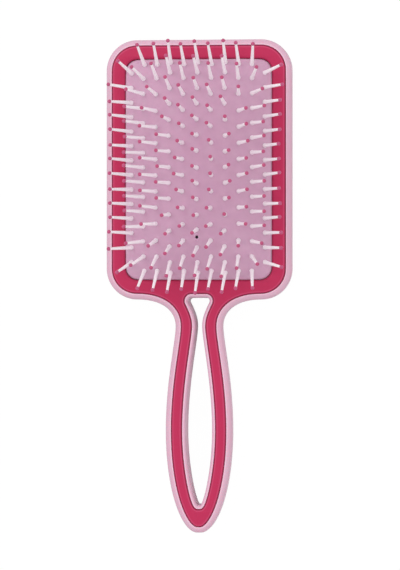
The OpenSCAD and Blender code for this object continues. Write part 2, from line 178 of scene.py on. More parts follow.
@dataclass(frozen=True)
class Plan:
    """The brush from above: its outline, its eye and the opening for the cushion, in metres."""

    head_x: float
    top_y: float
    end_y: float
    head_l: float = 126.5 * MM
    head_corner_r: float = 15 * MM
    foot_corner_r: float = 15 * MM
    neck_drop: float = 13.1 * MM
    belly_drop: float = 50.6 * MM
    rail_w: float = 9.8 * MM
    neck_gap: float = 3.3 * MM
    belly_gap: float = 13 * MM
    eye_top_w: float = 10.6 * MM
    eye_corner_r: float = 1.8 * MM
    eye_rise: float = 1.1 * MM
    end_l: float = 13.2 * MM
    end_flat: float = 0.8 * MM
    eye_flat: float = 0.5 * MM
    rim_w: float = 2.8 * MM
    eye_rim_w: float = 1.6 * MM
    band_w: float = 6.7 * MM
    opening_r: float = 6 * MM
    eye_lean: float = 27
    neck_shares: Pair = (0.65, 0.58)
    belly_shares: Pair = (0.14, 0.47)
    end_shares: Pair = (0.60, 0.52)
    eye_neck_shares: Pair = (0.53, 0.28)
    eye_belly_shares: Pair = (0.12, 0.446)
    eye_end_shares: Pair = (0.54, 0.32)
    corner_steps: int = 18
    curve_steps: int = 30
    end_steps: int = 40

    @property
    def foot_y(self) -> float:
        """Where the head ends."""
        return self.top_y - self.head_l

    @property
    def neck_y(self) -> float:
        """Where the neck is narrowest."""
        return self.foot_y - self.neck_drop

    @property
    def belly_y(self) -> float:
        """Where the loop is widest."""
        return self.neck_y - self.belly_drop

    @property
    def middle_y(self) -> float:
        """The middle of the head."""
        return self.top_y - self.head_l / 2

    @property
    def opening(self) -> Vector:
        """Half the opening's width and half its length."""
        edge = self.rim_w + self.band_w
        return Vector((self.head_x - edge, self.head_l / 2 - edge))

    def sweep(self, start: Vector, end: Vector, shares: Pair, steps: int) -> Loop:
        """A rail's curve between two upright ends.

        Args:
            start: Its upper end.
            end: Its lower end.
            shares: How far each end's handle reaches along the drop, from that end.
            steps: How many steps it has.

        Returns:
            The points, without the first.
        """
        drop = end.y - start.y
        handles = [start, Vector((start.x, start.y + drop * shares[0])),
                   Vector((end.x, end.y - drop * shares[1])), end]
        return bezier(handles, steps)

    def tip(self, start: Vector, end: Vector, shares: Pair) -> Loop:
        """A rail's curve from upright at its widest to level at its end.

        Args:
            start: Where it is widest.
            end: Where it ends.
            shares: The first handle's reach along the drop, and the second's along the width.

        Returns:
            The points, without the first.
        """
        handles = [start, Vector((start.x, start.y + (end.y - start.y) * shares[0])),
                   Vector((start.x * shares[1], end.y)), end]
        return bezier(handles, self.end_steps)

    def outer(self) -> Loop:
        """The outline of the whole brush."""
        neck = Vector((self.neck_gap / 2 + self.rail_w, self.neck_y))
        belly = Vector((self.belly_gap / 2 + self.rail_w, self.belly_y))
        top = Vector((self.head_x - self.head_corner_r, self.top_y - self.head_corner_r))
        foot = Vector((self.head_x - self.foot_corner_r, self.foot_y + self.foot_corner_r))
        heel = Vector((foot.x, self.foot_y))
        fillet = [heel, Vector((heel.x + (neck.x - heel.x) * self.neck_shares[0], heel.y)),
                  Vector((neck.x, neck.y + (heel.y - neck.y) * self.neck_shares[1])), neck]
        return mirrored(
            arc(top, self.head_corner_r, 90, 0, self.corner_steps)
            + arc(foot, self.foot_corner_r, 0, -90, self.corner_steps)
            + bezier(fillet, self.curve_steps)
            + self.sweep(neck, belly, self.belly_shares, self.curve_steps)
            + self.tip(belly, Vector((self.end_flat, self.end_y)), self.end_shares))

    def eye(self) -> Loop:
        """The outline of the hole through the handle."""
        top_y = self.foot_y + self.eye_rise
        centre = Vector((self.eye_top_w / 2 - self.eye_corner_r, top_y - self.eye_corner_r))
        corner = arc(centre, self.eye_corner_r, 90, -self.eye_lean, self.corner_steps)
        turn = corner[-1]
        neck = Vector((self.neck_gap / 2, self.neck_y))
        belly = Vector((self.belly_gap / 2, self.belly_y))
        lean = math.radians(self.eye_lean)
        fall = (turn.y - neck.y) * self.eye_neck_shares[0]
        throat = [turn, turn - fall * Vector((math.sin(lean), math.cos(lean))),
                  Vector((neck.x, neck.y + (turn.y - neck.y) * self.eye_neck_shares[1])), neck]
        end = Vector((self.eye_flat, self.end_y + self.end_l))
        return mirrored(
            corner + bezier(throat, self.curve_steps)
            + self.sweep(neck, belly, self.eye_belly_shares, self.curve_steps)
            + self.tip(belly, end, self.eye_end_shares))

    def opening_loop(self, grow: float = 0.0) -> Loop:
        """The edge of the opening for the cushion.

        Args:
            grow: How far out it is moved.

        Returns:
            Its points, clockwise from above.
        """
        half, radius = self.opening + Vector((grow, grow)), self.opening_r + grow
        x, y = half.x - radius, half.y - radius
        loop = mirrored(arc(Vector((x, y)), radius, 90, 0, self.corner_steps)
                        + arc(Vector((x, -y)), radius, 0, -90, self.corner_steps))
        return [p + Vector((0, self.middle_y)) for p in loop]


# Meshes


def quarter(radius: float, steps: int) -> list[Pair]:
    """A quarter round from an upright wall: how far in and how far up each step is."""
    angles = [math.pi / 2 * i / steps for i in range(steps + 1)]
    return [(radius * (1 - math.cos(a)), radius * math.sin(a)) for a in angles]


@dataclass
class Solid:
    """Rings of points that grow into one closed mesh."""

    points: list[Vector] = field(default_factory=list)
    faces: list[tuple[int, ...]] = field(default_factory=list)
    flat: set[int] = field(default_factory=set)
    painted_light_marks: list[float] = field(default_factory=list)

    def ring(self, loop: Loop, height: float, mark: float) -> list[int]:
        """Add a ring.

        Args:
            loop: Its points in plan.
            height: How high it lies.
            mark: Its painted highlight, or its painted shade below zero.

        Returns:
            The numbers of its points.
        """
        start = len(self.points)
        self.points += [Vector((p.x, p.y, height)) for p in loop]
        self.painted_light_marks += [mark] * len(loop)
        return list(range(start, len(self.points)))

    def wall(self, one: list[int], other: list[int]) -> None:
        """Join two rings with as many points as each other."""
        count = len(one)
        for i in range(count):
            j = (i + 1) % count
            self.faces.append((one[i], one[j], other[j], other[i]))

    def walls(self, loop: Loop, profile: Profile, side: float = 1.0) -> tuple[list[int], list[int]]:
        """Run a profile round a loop.

        Args:
            loop: The loop in plan.
            profile: How far out and how high each ring lies, and its mark of painted highlight or
                painted shade.
            side: Below zero, the profile runs inwards.

        Returns:
            The first ring and the last.
        """
        rings = [self.ring(grown(loop, out * side), height, mark)
                 for out, height, mark in profile]
        for one, other in zip(rings, rings[1:]):
            self.wall(one, other)
        return rings[0], rings[-1]

    def cap(self, *rings: list[int]) -> None:
        """Fill the flat face between the first ring and the holes that the others make."""
        numbers = [n for ring in rings for n in ring]
        outlines = [[self.points[n] for n in ring] for ring in rings]
        for triangle in tessellate_polygon(outlines):
            self.flat.add(len(self.faces))
            self.faces.append(tuple(numbers[k] for k in triangle))

    def build(self, name: str) -> Object:
        """Make the mesh, smooth apart from its flat faces and sharp edges, with faces outwards."""
        obj = mesh_object(name, self.points, self.faces)
        mesh = obj.data
        smooth = [i not in self.flat for i in range(len(self.faces))]
        mesh.polygons.foreach_set("use_smooth", smooth)
        # Store each point's painted highlight or painted shade for the finish to mix in.
        mesh.attributes.new(PAINTED_LIGHT_MARK, "FLOAT", "POINT").data.foreach_set("value", self.painted_light_marks)
        face_outwards(mesh)
        mesh.set_sharp_from_angle(angle=SHARP_ANGLE)
        return obj


def face_outwards(mesh: Mesh) -> None:
    """Merge a closed mesh's doubles and turn its faces outwards."""
    work = bmesh.new()
    work.from_mesh(mesh)
    bmesh.ops.remove_doubles(work, verts=work.verts, dist=MERGE_WITHIN)
    bmesh.ops.recalc_face_normals(work, faces=work.faces)
    work.to_mesh(mesh)
    work.free()


def link(obj: Object) -> Object:
    """Put an object into the scene."""
    bpy.context.scene.collection.objects.link(obj)
    return obj


def mesh_object(name: str, points: list[Vector], faces: list[tuple[int, ...]]) -> Object:
    """A new object in the scene, with a mesh of these points and faces."""
    mesh = bpy.data.meshes.new(name)
    mesh.from_pydata(points, [], faces)
    return link(bpy.data.objects.new(name, mesh))


def bake(obj: Object, name: str) -> Object:
    """Turn an object with modifiers into a plain mesh.

    Args:
        obj: The object, which is removed.
        name: The new object's name.

    Returns:
        A new object at the origin with the evaluated mesh and no modifier.
    """
    graph = bpy.context.evaluated_depsgraph_get()
    mesh = bpy.data.meshes.new_from_object(obj.evaluated_get(graph), depsgraph=graph)
    obj.modifiers.clear()
    bpy.data.objects.remove(obj)
    mesh.name = name
    return link(bpy.data.objects.new(name, mesh))


# Node trees


def put(tree: NodeTree, socket: NodeSocket, value: object) -> None:
    """Link a socket to another or to a Value, or set it to anything else."""
    if isinstance(value, Value):
        value = value.socket
    if isinstance(value, NodeSocket):
        tree.links.new(value, socket)
    else:
        socket.default_value = value


def feed(tree: NodeTree, node: Node, **inputs: object) -> None:
    """Put values into a node's inputs, by name with _ for a space."""
    for name, value in inputs.items():
        put(tree, node.inputs[name.replace("_", " ")], value)


def add_node(tree: NodeTree, kind: str, options: Options | None = None, **inputs: object) -> Node:
    """Add a node to a tree.

    Args:
        tree: The tree.
        kind: The node's type.
        options: The node's own settings, by name.
        inputs: What goes into its inputs, by name with _ for a space.

    Returns:
        The node.
    """
    node = tree.nodes.new(kind)
    for name, value in (options or {}).items():
        setattr(node, name, value)
    feed(tree, node, **inputs)
    return node


@dataclass(frozen=True)
class Value:
    """A number inside a node tree, with the usual arithmetic."""

    tree: NodeTree
    socket: NodeSocket

    def math(self, operation: str, *others: Value | float) -> Value:
        """Put this value through a Math node.

        Args:
            operation: The node's operation.
            others: The node's other values.

        Returns:
            What comes out of it.
        """
        node = add_node(self.tree, "ShaderNodeMath", {"operation": operation})
        for socket, value in zip(node.inputs, (self, *others)):
            put(self.tree, socket, value)
        return Value(self.tree, node.outputs[0])

    __add__ = partialmethod(math, "ADD")
    __sub__ = partialmethod(math, "SUBTRACT")
    __mul__ = partialmethod(math, "MULTIPLY")
    __truediv__ = partialmethod(math, "DIVIDE")
    __pow__ = partialmethod(math, "POWER")

    def rest(self) -> Value:
        """One less this."""
        return self * -1.0 + 1.0


class Tree:
    """A geometry node tree with named inputs."""

    def __init__(self, name: str) -> None:
        """Start an empty tree called name, with a geometry input and output."""
        self.group = bpy.data.node_groups.new(name, "GeometryNodeTree")
        for side in ("INPUT", "OUTPUT"):
            self.group.interface.new_socket(name="Geometry", in_out=side,
                                            socket_type="NodeSocketGeometry")
        self.start = self.node("NodeGroupInput")
        self.end = self.node("NodeGroupOutput")
        self.settings: Options = {}

    def node(self, kind: str, options: Options | None = None, **inputs: object) -> Node:
        """Add a node, as add_node does."""
        return add_node(self.group, kind, options, **inputs)

    def setting(self, name: str, value: object, kind: str = "NodeSocketFloat") -> NodeSocket:
        """Add a named input.

        Args:
            name: Its name.
            value: What the modifier sets it to.
            kind: Its socket type.

        Returns:
            The socket inside the tree.
        """
        item = self.group.interface.new_socket(name=name, in_out="INPUT", socket_type=kind)
        self.settings[item.identifier] = value
        return self.start.outputs[name]

    def numbers(self, **values: float) -> list[Value]:
        """Add numbers, ready for arithmetic, each named by its words in capitals."""
        return [Value(self.group, self.setting(name.replace("_", " ").title(), value))
                for name, value in values.items()]

    def place(self) -> tuple[Value, Value, Value]:
        """The X, Y and Z of each point's place."""
        place = self.node("GeometryNodeInputPosition").outputs[0]
        parts = self.node("ShaderNodeSeparateXYZ", Vector=place)
        return tuple(Value(self.group, parts.outputs[axis]) for axis in "XYZ")

    def shift(self, geometry: NodeSocket, name: str = "Offset", **axes: Value) -> NodeSocket:
        """Move points.

        Args:
            geometry: What they are in.
            name: Offset, or Position to move them there.
            axes: How far or where to, along X, Y and Z.

        Returns:
            The moved geometry.
        """
        way = self.node("ShaderNodeCombineXYZ", **axes)
        moved = self.node("GeometryNodeSetPosition", Geometry=geometry,
                          **{name: way.outputs["Vector"]})
        return moved.outputs["Geometry"]

    def apply(self, obj: Object, result: NodeSocket, name: str) -> Object:
        """End the tree, run it on an object and bake it.

        Args:
            obj: The object that it starts from, which is removed.
            result: The finished geometry.
            name: The new object's name.

        Returns:
            The new object.
        """
        self.group.links.new(result, self.end.inputs["Geometry"])
        modifier = obj.modifiers.new(self.group.name, "NODES")
        modifier.node_group = self.group
        for identifier, value in self.settings.items():
            modifier[identifier] = value
        return bake(obj, name)


# Finishes


@dataclass(frozen=True)
class Grain:
    """The fine unevenness of a moulded surface."""

    name: str = "moulded_grain"
    grain_detail: float = 3.0
    mottle_detail: float = 2.0

    def group(self) -> NodeTree:
        """The shader group: a mottle from 0 to 1, and a height for a Bump node."""
        made = bpy.data.node_groups.get(self.name)
        if made:
            return made
        group = bpy.data.node_groups.new(self.name, "ShaderNodeTree")
        for name, side in (("Grain Scale", "INPUT"), ("Mottle Scale", "INPUT"),
                           ("Height", "OUTPUT"), ("Mottle", "OUTPUT")):
            group.interface.new_socket(name=name, in_out=side, socket_type="NodeSocketFloat")
        start, end, place = (add_node(group, kind) for kind in (
            "NodeGroupInput", "NodeGroupOutput", "ShaderNodeTexCoord"))
        for scale, detail, result in (("Grain Scale", self.grain_detail, "Height"),
                                      ("Mottle Scale", self.mottle_detail, "Mottle")):
            noise = add_node(group, "ShaderNodeTexNoise", Vector=place.outputs["Object"],
                             Scale=start.outputs[scale], Detail=detail)
            feed(group, end, **{result: noise.outputs["Fac"]})
        return group


@dataclass(frozen=True)
class Finish:
    """A moulded finish: two near colours in a mottle, a sheen and a fine grain, with an optional
    painted highlight on edges and painted shade in seams.
    """

    name: str
    light: Colour
    dark: Colour
    roughness: Pair
    subsurface: float = 0.0
    subsurface_radius: Colour = (1.0, 0.3, 0.4)
    subsurface_scale: float = 1.0 * MM
    specular: float = 0.5
    painted_edge_highlight: Colour | None = None
    painted_seam_shade: Colour | None = None
    grain_scale: float = 2200.0
    mottle_scale: float = 60.0
    bump: float = 0.12
    bump_depth: float = 0.02 * MM

    def material(self) -> Material:
        """Build the material."""
        made = bpy.data.materials.new(self.name)
        made.use_nodes = True
        tree = made.node_tree
        grain = add_node(tree, "ShaderNodeGroup", {"node_tree": Grain().group()},
                         Grain_Scale=self.grain_scale, Mottle_Scale=self.mottle_scale)
        mottle = grain.outputs["Mottle"]
        colours = {"data_type": "RGBA"}
        tint = add_node(tree, "ShaderNodeMix", colours, Factor=mottle,
                        A=(*self.dark, 1), B=(*self.light, 1))
        colour = tint.outputs["Result"]
        # Mix in the painted highlight where the point mark is above zero and the painted shade
        # where it is below.
        for painted_light_colour, sign in ((self.painted_edge_highlight, 1.0), (self.painted_seam_shade, -1.0)):
            if not painted_light_colour:
                continue
            mark = add_node(tree, "ShaderNodeAttribute", {"attribute_name": PAINTED_LIGHT_MARK})
            edge = add_node(tree, "ShaderNodeMix", colours, A=colour, B=(*painted_light_colour, 1),
                            Factor=Value(tree, mark.outputs["Fac"]) * sign)
            colour = edge.outputs["Result"]
        dull, duller = self.roughness
        gloss = add_node(tree, "ShaderNodeMapRange", Value=mottle, To_Min=dull, To_Max=duller)
        bump = add_node(tree, "ShaderNodeBump", Strength=self.bump, Distance=self.bump_depth,
                        Height=grain.outputs["Height"])
        feed(tree, tree.nodes["Principled BSDF"], Base_Color=colour,
             Roughness=gloss.outputs["Result"], Normal=bump.outputs["Normal"],
             Subsurface_Weight=self.subsurface, Subsurface_Radius=self.subsurface_radius,
             Subsurface_Scale=self.subsurface_scale, Specular_IOR_Level=self.specular)
        return made


def linear(red: int, green: int, blue: int) -> Colour:
    """A colour as shaders take it, from its screen values of 0 to 255."""
    return tuple(((c / 255 + 0.055) / 1.055) ** 2.4 for c in (red, green, blue))


# The pink plastic's lighter edge colour is a painted highlight on the shell's lip.
PINK_PLASTIC = Finish("pink_plastic", linear(221, 179, 198), linear(216, 172, 192), (0.4, 0.5),
                      subsurface=0.15, specular=0.3, painted_edge_highlight=linear(246, 201, 221))
# The magenta plastic's lighter edge colour is a painted highlight on the bevels, and its dark seam
# colour is painted shade in the seams and rounds.
MAGENTA_PLASTIC = Finish("magenta_plastic", linear(191, 42, 87), linear(186, 38, 83), (0.45, 0.55),
                         subsurface=0.05, subsurface_radius=(1.0, 0.1, 0.2), specular=0.25,
                         painted_edge_highlight=linear(202, 71, 110), painted_seam_shade=linear(145, 29, 68))
PINK_RUBBER = Finish("pink_rubber", linear(211, 168, 193), linear(199, 154, 182), (0.5, 0.62),
                     subsurface=0.5, subsurface_radius=(1.0, 0.55, 0.8), subsurface_scale=2 * MM,
                     grain_scale=1400.0, mottle_scale=260.0, bump=0.25, bump_depth=0.05 * MM)
WHITE_NYLON = Finish("white_nylon", linear(255, 251, 254), linear(254, 248, 252), (0.32, 0.4),
                     subsurface=0.1, subsurface_radius=(1.0, 0.8, 0.9),
                     subsurface_scale=1.5 * MM, bump=0.05)
MAGENTA_BALL = Finish("magenta_ball", linear(191, 84, 126), linear(184, 78, 120), (0.3, 0.38),
                      subsurface=0.2, subsurface_radius=(1.0, 0.3, 0.5), specular=0.35, bump=0.02)


def dress(obj: Object, finish: Material) -> Object:
    """Give a piece its material.

    Args:
        obj: The piece.
        finish: Its material.

    Returns:
        The piece.
    """
    obj.data.materials.append(finish)
    return obj


# Shell and trim


@dataclass(frozen=True)
class Shell:
    """The pink body: a back, a rounded rim and the tray under the cushion."""

    plan: Plan
    height: float
    seat_z: float
    back_r: float = 4.6 * MM
    eye_back_r: float = 1.5 * MM
    rim_r: float = 2.3 * MM
    eye_rim_r: float = 1 * MM
    eye_draft: float = 0.4 * MM
    lip_r: float = 0.25 * MM
    painted_lip_highlight: float = 0.5
    back_t: float = 2.6 * MM
    pocket_grow: float = 3.08 * MM
    pocket_drop: float = 1.66 * MM
    tray_shrink: float = 1.1 * MM
    steps: int = 10
    lip_steps: int = 3

    def profile(self, back_r: float, rim_r: float, rim_w: float, draft: float = 0.0) -> Profile:
        """The rim's section, from the back over the edge to the seat.

        Args:
            back_r: The rounding of the back.
            rim_r: The rounding of the edge.
            rim_w: The rim's width.
            draft: How much further out the wall stands at the back than at the rim.

        Returns:
            How far inside the outline and how high each ring lies, and its mark: a painted
            highlight along the lip.
        """
        back = [(inward - draft, back_r - up, 0)
                for inward, up in reversed(quarter(back_r, self.steps))]
        edge = [(inward, self.height - rim_r + up, 0)
                for inward, up in quarter(rim_r, self.steps)]
        # The top of the rounded edge and the lip next to the trim get a painted highlight.
        edge[-1] = (*edge[-1][:2], self.painted_lip_highlight)
        lip = [(rim_w - inward, self.height - self.lip_r + up, 1)
               for inward, up in reversed(quarter(self.lip_r, self.lip_steps))]
        return back + edge + lip + [(rim_w, self.seat_z, 0)]

    def build(self) -> Object:
        """Make the mesh."""
        plan, solid = self.plan, Solid()
        outside = self.profile(self.back_r, self.rim_r, plan.rim_w)
        inside = self.profile(self.eye_back_r, self.eye_rim_r, plan.eye_rim_w, self.eye_draft)
        base, seat = solid.walls(plan.outer(), outside, side=-1)
        eye_base, eye_seat = solid.walls(plan.eye(), inside)
        ledge_z = self.seat_z - self.pocket_drop
        pocket, ledge = solid.walls(plan.opening_loop(self.pocket_grow),
                                    [(0, self.seat_z, 0), (0, ledge_z, 0)])
        rim, floor = solid.walls(plan.opening_loop(-self.tray_shrink),
                                 [(0, ledge_z, 0), (0, self.back_t, 0)])
        solid.wall(ledge, rim)
        solid.cap(base, eye_base)
        solid.cap(seat, eye_seat, pocket)
        solid.cap(floor)
        return solid.build("shell_body")


@dataclass(frozen=True)
class Trim:
    """The magenta plate: its three edges drop in a round and a shallow slope, with painted shade in
    the round and a painted highlight on the slope.
    """

    plan: Plan
    high: float
    thick: float = 2 * MM
    gap: float = 0.1 * MM
    edge_r: float = 0.35 * MM
    opening_edge_r: float = 0.55 * MM
    seam_w: float = 0.1 * MM
    painted_highlight_at: float = 0.4 * MM
    slope_w: float = 1.3 * MM
    slope_drop: float = 0.25 * MM
    opening_painted_highlight: float = 0.2
    opening_painted_shade: float = 0.35
    steps: int = 5

    @property
    def low(self) -> float:
        """Its underside, which lies on the shell's seat."""
        return self.high - self.thick

    def profile(self, edge_r: float, light: float = 1.0, dark: float = 1.0) -> Profile:
        """An edge's section.

        Args:
            edge_r: The rounding of its corner.
            light: How strong the painted highlight on its bevel is.
            dark: How strong the painted shade in its round and seam is.
            dark: How dark its seam is.

        Returns:
            How far in and how high each ring lies, and its mark of painted highlight or painted
            shade.
        """
        shoulder = self.high - self.slope_drop
        edge = [(inward, shoulder - edge_r + up, -dark)
                for inward, up in quarter(edge_r, self.steps)]
        run = self.slope_w - edge_r
        slope = [(edge_r + on, shoulder + self.slope_drop * on / run, mark)
                 for on, mark in ((self.seam_w, -dark), (self.painted_highlight_at, light), (run, 0))]
        return [(0, self.low, -dark)] + edge + slope

    def build(self) -> Object:
        """Make the mesh."""
        plan, solid, edge = self.plan, Solid(), self.profile(self.edge_r)
        outside = solid.walls(grown(plan.outer(), -plan.rim_w - self.gap), edge, side=-1)
        eye = solid.walls(grown(plan.eye(), plan.eye_rim_w + self.gap), edge)
        # The opening's edge gets a weaker painted highlight and painted shade.
        inner = self.profile(self.opening_edge_r, self.opening_painted_highlight, self.opening_painted_shade)
        opening = solid.walls(plan.opening_loop(), inner)
        for low_or_high in (0, 1):
            solid.cap(outside[low_or_high], eye[low_or_high], opening[low_or_high])
        return solid.build("trim_plate")


# Cushion


@dataclass(frozen=True)
class Cushion:
    """The rubber diaphragm: a flat sheet of rings that a tree lifts into a dome.

    held_t and give_h, how far below and above the top of its flange it gives under a press, are not
    used here.
    """

    plan: Plan
    low: Vector
    high: Vector
    gap: float = 0.08 * MM
    skin_t: float = 1.8 * MM
    shoulder_w: float = 3 * MM
    shoulder_h: float = 2.5 * MM
    flange_t: float = 1.5 * MM
    flange_w: float = 3.2 * MM
    collar_h: float = 0.35 * MM
    collar_r: float = 2.2 * MM
    vent_r: float = 0.75 * MM
    vent_drop: float = 33 * MM
    vent_sides: int = 24
    shoulder_power: float = 5
    rings: int = 60
    shoulder_rings: int = 10
    cross_power: float = 6
    along_power: float = 12
    held_t: float = 0.3 * MM
    give_h: float = 3.6 * MM

    @property
    def half(self) -> Vector:
        """Half its width and half its length inside the trim."""
        return self.plan.opening - Vector((self.gap, self.gap))

    @property
    def rim_z(self) -> float:
        """The top of its flange."""
        return self.low.z + self.flange_t

    def ring_place(self, ring: int, across: int, along: int) -> Vector:
        """A place in plan, about the middle of the cushion.

        Args:
            ring: The ring's number, from 0 in the middle to rings at the edge.
            across: The step across, from -ring to ring.
            along: The step along, from -ring to ring.

        Returns:
            The place, on a rounded rectangle.
        """
        dome_rings = self.rings - self.shoulder_rings
        bend = max(ring - dome_rings, 0) / self.shoulder_rings
        inset = self.shoulder_w * (1 - math.sin(math.pi / 2 * bend))
        share = min(ring / dome_rings, 1)
        half = (self.half - Vector((inset, inset))) * share
        radius = max(self.plan.opening_r - self.gap - inset, MM) * share
        if not ring:
            return Vector((0, 0))
        place = Vector((half.x * across / ring, half.y * along / ring))
        corner = Vector((math.copysign(half.x - radius, place.x),
                         math.copysign(half.y - radius, place.y)))
        away = place - corner
        if away.x * corner.x > 0 and away.y * corner.y > 0:
            place = corner + away.normalized() * radius
        return place

    def sheet(self) -> Object:
        """The flat sheet of rings."""
        side = 2 * self.rings + 1
        steps = range(-self.rings, self.rings + 1)
        points = [self.ring_place(max(abs(along), abs(across)), across, along).to_3d()
                  for along in steps for across in steps]
        starts = [j * side + i for j in range(side - 1) for i in range(side - 1)]
        faces = [(n, n + 1, n + side + 1, n + side) for n in starts]
        obj = mesh_object("cushion_sheet", points, faces)
        obj.data.polygons.foreach_set("use_smooth", [True] * len(faces))
        return obj

    def dome(self, feet: Object) -> Object:
        """Lift the sheet into the dome, with a low collar round the foot of each pin.

        Args:
            feet: A mesh with a point at the foot of each pin.

        Returns:
            The domed sheet, in place.
        """
        tree = Tree("domed_sheet")
        half_w, half_l, corner_r, rim_z, middle_y = tree.numbers(
            half_width=self.half.x, half_length=self.half.y,
            corner_radius=self.plan.opening_r - self.gap, rim_height=self.rim_z,
            middle_along=self.plan.middle_y)
        shoulder_w, shoulder_h, crown_h, collar_h, collar_r = tree.numbers(
            shoulder_width=self.shoulder_w, shoulder_height=self.shoulder_h,
            crown_height=self.high.z - self.rim_z - self.shoulder_h,
            collar_height=self.collar_h, collar_radius=self.collar_r)
        pins = tree.setting("Pin Feet", feet, "NodeSocketObject")

        x, y, _ = tree.place()
        x, y = x.math("ABSOLUTE"), y.math("ABSOLUTE")
        past_x = x - half_w + corner_r
        past_y = y - half_l + corner_r
        corner = (past_x.math("MAXIMUM", 0.0) ** 2 + past_y.math("MAXIMUM", 0.0) ** 2).math("SQRT")
        inset = corner_r - corner - past_x.math("MAXIMUM", past_y).math("MINIMUM", 0.0)
        out = ((shoulder_w - inset) / shoulder_w).math("MAXIMUM", 0.0).math("MINIMUM", 1.0)
        shoulder = shoulder_h * (out ** self.shoulder_power).rest() ** (1 / self.shoulder_power)
        across = (x / half_w) ** self.cross_power
        along = (y / half_l) ** self.along_power
        crown = crown_h * ((across + along) ** (2 / self.cross_power)).rest()
        domed = tree.shift(tree.start.outputs["Geometry"], Y=middle_y, Z=rim_z + shoulder + crown)

        near = tree.node("GeometryNodeProximity", {"target_element": "POINTS"})
        target = tree.node("GeometryNodeObjectInfo", {"transform_space": "RELATIVE"}, Object=pins)
        tree.group.links.new(target.outputs["Geometry"], near.inputs[0])
        reach = (Value(tree.group, near.outputs["Distance"]) / collar_r).math("MINIMUM", 1.0)
        collar = collar_h * (reach * reach).rest() ** 2.0
        return tree.apply(self.sheet(), tree.shift(domed, Z=collar), "air_cushion")

    def build(self, feet: Object) -> Object:
        """Make the closed piece: the dome, its flange, the skin's thickness and the vent.

        Args:
            feet: A mesh with a point at the foot of each pin.

        Returns:
            The finished piece.
        """
        obj = self.dome(feet)
        self.add_flange(obj.data)
        skin = obj.modifiers.new("skin", "SOLIDIFY")
        skin.thickness = self.skin_t
        skin.offset = -1
        obj = bake(obj, "air_cushion")
        for vert in obj.data.vertices:
            vert.co.z = max(vert.co.z, self.low.z)
        obj = self.cut_vent(obj)
        face_outwards(obj.data)
        return obj

    def add_flange(self, mesh: Mesh) -> None:
        """Turn the sheet's edge out into the flange that the trim clamps."""
        work = bmesh.new()
        work.from_mesh(mesh)
        corner = self.half - Vector((self.plan.opening_r, self.plan.opening_r))
        edges = [e for e in work.edges if e.is_boundary]
        made = bmesh.ops.extrude_edge_only(work, edges=edges)["geom"]
        for vert in (v for v in made if isinstance(v, bmesh.types.BMVert)):
            away = Vector((vert.co.x, vert.co.y - self.plan.middle_y))
            core = Vector([max(-edge, min(edge, on)) for edge, on in zip(corner, away)])
            vert.co += ((away - core).normalized() * (self.flange_w - self.gap)).to_3d()
        work.to_mesh(mesh)
        work.free()

    def cut_vent(self, obj: Object) -> Object:
        """Cut the vent hole with a round cutter."""
        work = bmesh.new()
        place = Matrix.Translation((0, self.plan.middle_y - self.vent_drop, self.high.z))
        bmesh.ops.create_cone(work, cap_ends=True, segments=self.vent_sides, radius1=self.vent_r,
                              radius2=self.vent_r, depth=2 * self.high.z, matrix=place)
        mesh = bpy.data.meshes.new("vent_cutter")
        work.to_mesh(mesh)
        work.free()
        cutter = link(bpy.data.objects.new("vent_cutter", mesh))
        cut = obj.modifiers.new("vent", "BOOLEAN")
        cut.object = cutter
        cut.solver = "EXACT"
        obj = bake(obj, "air_cushion")
        bpy.data.objects.remove(cutter)
        return obj


# Pins


